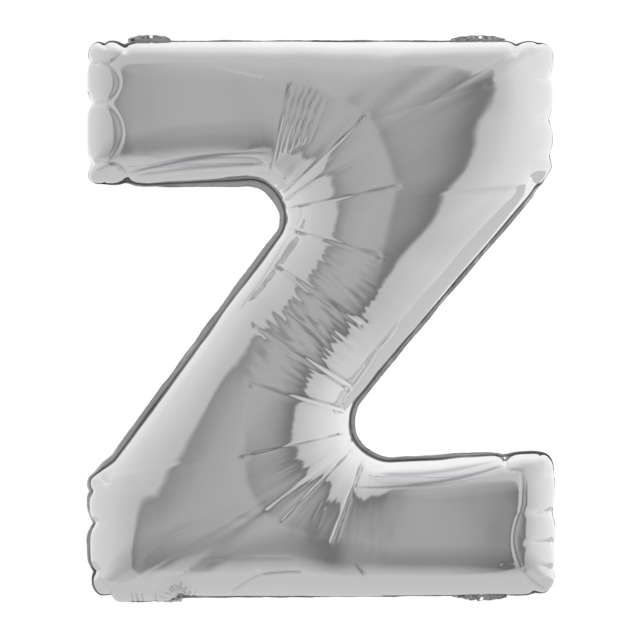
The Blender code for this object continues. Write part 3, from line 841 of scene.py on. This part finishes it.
def border():
    count, folds = 2600, 9
    rng = np.random.default_rng(41)
    path, out = closed_seam(count)
    x, y = 320.5 + path[:, 0] * 1000 / MM_PER_PX, 318 - path[:, 1] * 1000 / MM_PER_PX
    width = 4.0 + 0.45 * ripple(rng, count, 180) + 0.12 * ripple(rng, count, 800)
    more, share = np.zeros(count), np.zeros(count)
    for x0, y0, x1, y1, reach, more0, more1 in BORDER_WIDTHS:
        far, t = from_line(x, y, x0, y0, x1, y1)
        near = np.exp(-((far / reach) ** 2))
        more += near * (more0 + (more1 - more0) * np.clip(t, 0, 1))
        share += near
    width = np.clip(width + more / np.maximum(share, 1.0), 0.9, 15.0) / 1000
    lean = (1.2 * ripple(rng, count, 120) + 0.35 * ripple(rng, count, 420)) / 1000
    curl = (0.6 * ripple(rng, count, 330)) / 1000
    rows, shade = [], []
    # shade is painted shadow: a dark band where the skin meets the border, and a thin dark line along its outer edge
    joint_shadow_width, edge_line_shade = 2.6 + 0.7 * ripple(rng, count, 60), 0.45 + 0.30 * ripple(rng, count, 50)
    for face in (-1, 1):
        order = range(folds + 1) if face < 0 else range(folds, -1, -1)
        for k in order:
            t = k / folds
            at_mm = 1000 * width * t
            shade.append(np.clip(np.exp(-((at_mm / np.maximum(joint_shadow_width, 1.0)) ** 2)) + np.clip(edge_line_shade, 0, 1) * np.exp(-(((1000 * width - at_mm) / 1.1) ** 2)), 0, 1))
            across_xz = path + out * (width * t - 0.0006)[:, None]
            y_mid = lean * t**1.5 + curl * math.sin(math.pi * t)
            half = 0.0010 * (1 - t) + 0.00022
            rows.append(np.stack([across_xz[:, 0], y_mid + face * half, across_xz[:, 1]], axis=-1))
    ring = np.stack(rows, axis=1)
    n, m = ring.shape[:2]
    index = np.arange(n * m).reshape(n, m)
    nxt, side = np.roll(index, -1, axis=0), np.roll(index, -1, axis=1)
    quads = np.stack([index, nxt, np.roll(nxt, -1, axis=1), side], axis=-1).reshape(-1, 4)
    return ring.reshape(-1, 3), quads, np.stack(shade, axis=1).ravel()


def sheet_solid(name, middle, normals, thick, keep):
    """A closed thin piece from a grid of points: two faces and a rim round every edge of the kept cells."""
    na, nb = middle.shape[:2]
    front, back = middle + normals * (thick / 2), middle - normals * (thick / 2)
    index = np.arange(na * nb).reshape(na, nb)
    used = sorted({int(k) for i in range(na - 1) for j in range(nb - 1) if keep[i, j]
                   for k in (index[i, j], index[i + 1, j], index[i + 1, j + 1], index[i, j + 1])})
    slot, verts, faces, edges = {k: n for n, k in enumerate(used)}, [], [], {}
    flat_front, flat_back = front.reshape(-1, 3), back.reshape(-1, 3)
    verts = [tuple(flat_front[k]) for k in used] + [tuple(flat_back[k]) for k in used]
    shift = len(used)
    for i in range(na - 1):
        for j in range(nb - 1):
            if not keep[i, j]:
                continue
            q = [slot[int(k)] for k in (index[i, j], index[i + 1, j], index[i + 1, j + 1], index[i, j + 1])]
            faces.append(q)
            faces.append([k + shift for k in reversed(q)])
            for e0, e1 in zip(q, q[1:] + q[:1]):
                edges[(e0, e1)] = True
    for e0, e1 in edges:
        if (e1, e0) not in edges:
            faces.append([e1, e0, e0 + shift, e1 + shift])
    mesh = bpy.data.meshes.new(name)
    mesh.from_pydata(verts, [], faces)
    mesh.update()
    mesh.shade_smooth()
    obj = bpy.data.objects.new(name, mesh)
    bpy.context.scene.collection.objects.link(obj)
    return obj


def crumple(rng, na, nb, sizes):
    total = np.zeros((na, nb))
    for count_a, count_b, height in sizes:
        total += height * resample(rng.standard_normal((count_a, count_b)), na, nb)
    return total


def hang_tab(name, x, z, side, width, height, hole, seed):
    rng = np.random.default_rng(seed)
    na, nb = 133, 27
    a, b = np.linspace(-0.5, 0.5, na)[:, None], np.linspace(0, 1, nb)[None, :]
    edge = height * (np.cos(math.pi * a) ** 2) ** 0.28
    edge = edge * (0.93 + 0.07 * np.sin(a * 31 + seed)) + 0 * b
    up = -0.0035 + (edge + 0.0035) * b
    fold = crumple(rng, na, nb, ((20, 4, 0.9), (42, 7, 0.55), (9, 3, 0.8))) / 1000
    grip = smooth(b / 0.45)
    points = np.stack([x + a * width + 0 * b + 0.4 * fold * grip, -0.0004 + fold * grip, z + side * up + 0.35 * fold * grip], axis=-1)
    n = surface_normals(points)
    u = (a + 0 * b) * width - hole[0]
    keep_point = np.hypot(u, up - hole[1]) > 0.0021
    keep = keep_point[:-1, :-1] & keep_point[1:, :-1] & keep_point[1:, 1:] & keep_point[:-1, 1:]
    obj = sheet_solid(name, points, n, 0.0003, keep)
    return obj


def filling_sleeve(name, seed):
    """The filling tail: a creased flat sleeve folded up behind the bottom bar."""
    rng = np.random.default_rng(seed)
    na, nb = 41, 181
    a, b = np.linspace(-0.5, 0.5, na)[:, None], np.linspace(0, 1, nb)[None, :]
    turn = np.radians(TAIL_FROM + (TAIL_TO - TAIL_FROM) * np.clip((b - 0.03) / 0.97, 0, 1))
    bins, out = np.linspace(0, math.radians(TAIL_TO + 6), 40), np.zeros(40)
    for line in back_shape:
        low = line[line[:, 2] < TAIL_MIDDLE_Z]
        if len(low) > 3 and abs(low[0, 0] - TAIL_X) < 0.03 and low[0, 2] < -0.40:
            angle = np.arctan2(low[:, 1], TAIL_MIDDLE_Z - low[:, 2])
            order = np.argsort(angle)
            size = np.hypot(low[:, 1], low[:, 2] - TAIL_MIDDLE_Z)
            out = np.maximum(out, np.interp(bins, angle[order], size[order]))
    radius = np.interp(turn, bins, out) + 0.0012
    y = TAIL_MIDDLE_Y + radius * np.sin(turn)
    z = TAIL_MIDDLE_Z - radius * np.cos(turn) + 0.006 * np.exp(-((b / 0.06) ** 2))
    y = np.where(b < 0.03, 0.0009 + (y - 0.0009) * b / 0.03, y)
    wide = TAIL_WIDTH * (1 + 0.10 * np.exp(-(b / 0.08) ** 2) - 0.05 * np.sin(b * 19))
    points = np.stack([TAIL_X + a * wide, y + 0 * a, z + 0 * a], axis=-1)
    n = surface_normals(points)
    if n[na // 2, nb // 2, 1] < 0:
        n = -n
    fold = crumple(rng, na, nb, ((6, 30, 0.55), (12, 70, 0.30), (3, 9, 0.8))) / 1000
    points = points + n * (0.0009 + np.abs(fold))[..., None]
    keep = np.ones((na - 1, nb - 1), bool)
    return sheet_solid(name, points, n, 0.0004, keep)


def mesh_piece(name, verts, faces, fold):
    mesh = bpy.data.meshes.new(name)
    mesh.from_pydata([tuple(v) for v in verts], [], [tuple(int(k) for k in f) for f in faces])
    mesh.update()
    mesh.shade_smooth()
    mesh.attributes.new("fold", "FLOAT", "POINT").data.foreach_set("value", fold.astype(np.float32))
    obj = bpy.data.objects.new(name, mesh)
    bpy.context.scene.collection.objects.link(obj)
    return obj


def finish_piece(obj, node, material):
    obj.data.materials.append(material)
    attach(obj, "root")
    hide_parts(node)


finish_piece(mesh_piece("welded_border", *border()), "seam_border", WELD)
finish_piece(hang_tab("tab_top_left", -0.268, 0.4370, 1, 0.068, 0.0078, (0.002, 0.0042), 3), "hang_tab_top_left", TAB)
finish_piece(hang_tab("tab_top_right", 0.247, 0.4370, 1, 0.086, 0.0072, (0.004, 0.0040), 5), "hang_tab_top_right", TAB)
finish_piece(hang_tab("tab_bottom_right", 0.250, -0.4370, -1, 0.086, 0.0068, (0.003, 0.0038), 8), "hang_tab_bottom_right", TAB)
finish_piece(filling_sleeve("filling_sleeve", 21), "filling_tail", TAIL)

# ------------------------------------------------------------------ studio
FLOOR_Z, FLOOR_RADIUS, FLOOR_Y = -1.2, 3.0, 2.8
# Brightness of the room round the object, by direction on the level: degrees, to the right of the camera's side
ROOM = (
    (-180, 1.05), (-140, 0.78), (-100, 0.73), (-38, 0.58), (-34, 0.30), (-24, 0.42), (-10, 0.47), (4, 0.45), (17, 0.34), (25, 0.23), (29, 0.21),
    (31.5, 0.58), (60, 0.76), (100, 0.88), (180, 1.05),
)
# and by height: sine of the elevation, share of the brightness there that is mixed in, or what the rest is multiplied by
ROOM_TOP = ((0.72, 0.0), (0.92, 0.45), (1.0, 1.0))
ROOM_LOW = ((0.40, 1.0), (0.70, 0.76), (0.80, 0.74), (0.90, 0.86), (1.0, 1.0))
ROOM_FLOOR = ((0.84, 0.0), (0.96, 0.7), (1.0, 1.0))
TOP_LEVEL, LOW_LEVEL = 0.58, 0.62


def ramp_node(tree, stops):
    node = tree.nodes.new("ShaderNodeValToRGB")
    ramp = node.color_ramp
    ramp.elements[0].position, ramp.elements[1].position = stops[0][0], stops[-1][0]
    for element, (_, level) in zip(ramp.elements, (stops[0], stops[-1])):
        element.color = (level, level, level, 1.0)
    for position, level in stops[1:-1]:
        ramp.elements.new(position).color = (level, level, level, 1.0)
    return node


def math_node(tree, operation, a, b=None):
    node = tree.nodes.new("ShaderNodeMath")
    node.operation = operation
    for socket, value in zip(node.inputs, (a, b)):
        if value is None:
            continue
        if isinstance(value, (int, float)):
            socket.default_value = value
        else:
            tree.links.new(value, socket)
    return node.outputs[0]


def room():
    world = bpy.data.worlds.new("studio_room")
    bpy.context.scene.world = world
    world.use_nodes = True
    tree = world.node_tree
    coords = tree.nodes.new("ShaderNodeTexCoord")
    split = tree.nodes.new("ShaderNodeSeparateXYZ")
    tree.links.new(coords.outputs["Generated"], split.inputs[0])
    back = math_node(tree, "MULTIPLY", split.outputs["Y"], -1.0)
    turn = math_node(tree, "ARCTAN2", split.outputs["X"], back)
    turn = math_node(tree, "ADD", math_node(tree, "DIVIDE", turn, 2 * math.pi), 0.5)
    level = ramp_node(tree, [((d + 180) / 360, v) for d, v in ROOM])
    tree.links.new(turn, level.inputs["Fac"])
    share = ramp_node(tree, ROOM_TOP)
    tree.links.new(split.outputs["Z"], share.inputs["Fac"])
    mix = tree.nodes.new("ShaderNodeMix")
    mix.data_type = "RGBA"
    mix.inputs["B"].default_value = (TOP_LEVEL, TOP_LEVEL, TOP_LEVEL, 1.0)
    tree.links.new(share.outputs["Color"], mix.inputs["Factor"])
    tree.links.new(level.outputs["Color"], mix.inputs["A"])
    low = math_node(tree, "MULTIPLY", split.outputs["Z"], -1.0)
    fade = ramp_node(tree, [(h, 0.5 * v) for h, v in ROOM_LOW])
    tree.links.new(low, fade.inputs["Fac"])
    low_share = ramp_node(tree, ROOM_FLOOR)
    tree.links.new(low, low_share.inputs["Fac"])
    low_mix = tree.nodes.new("ShaderNodeMix")
    low_mix.data_type = "RGBA"
    low_mix.inputs["B"].default_value = (LOW_LEVEL, LOW_LEVEL, LOW_LEVEL, 1.0)
    tree.links.new(low_share.outputs["Color"], low_mix.inputs["Factor"])
    tree.links.new(mix.outputs["Result"], low_mix.inputs["A"])
    tree.links.new(low_mix.outputs["Result"], tree.nodes["Background"].inputs["Color"])
    tree.links.new(math_node(tree, "MULTIPLY", fade.outputs["Color"], 2.0), tree.nodes["Background"].inputs["Strength"])


def floor_disc():
    bpy.ops.mesh.primitive_circle_add(vertices=96, radius=FLOOR_RADIUS, fill_type="NGON", location=(0, FLOOR_Y, FLOOR_Z))
    obj = bpy.context.object
    obj.name = "studio_floor"
    material, _, _ = principled("studio_floor", (0.90, 0.90, 0.90), 0.0, 0.9)
    obj.data.materials.append(material)


room()
floor_disc()

# ------------------------------------------------------------------ camera
FRAME_WIDTH = 640 * MM_PER_PX / 1000
camera = bpy.data.cameras.new("camera")
camera.sensor_width = 36.0
camera.lens = 36.0 * DISTANCE / FRAME_WIDTH
eye = bpy.data.objects.new("camera", camera)
eye.location = (EYE_X, -DISTANCE, EYE_Z)
eye.rotation_euler = (math.pi / 2, 0.0, 0.0)
bpy.context.scene.collection.objects.link(eye)
bpy.context.scene.camera = eye
bpy.context.scene.view_settings.view_transform = "Standard"
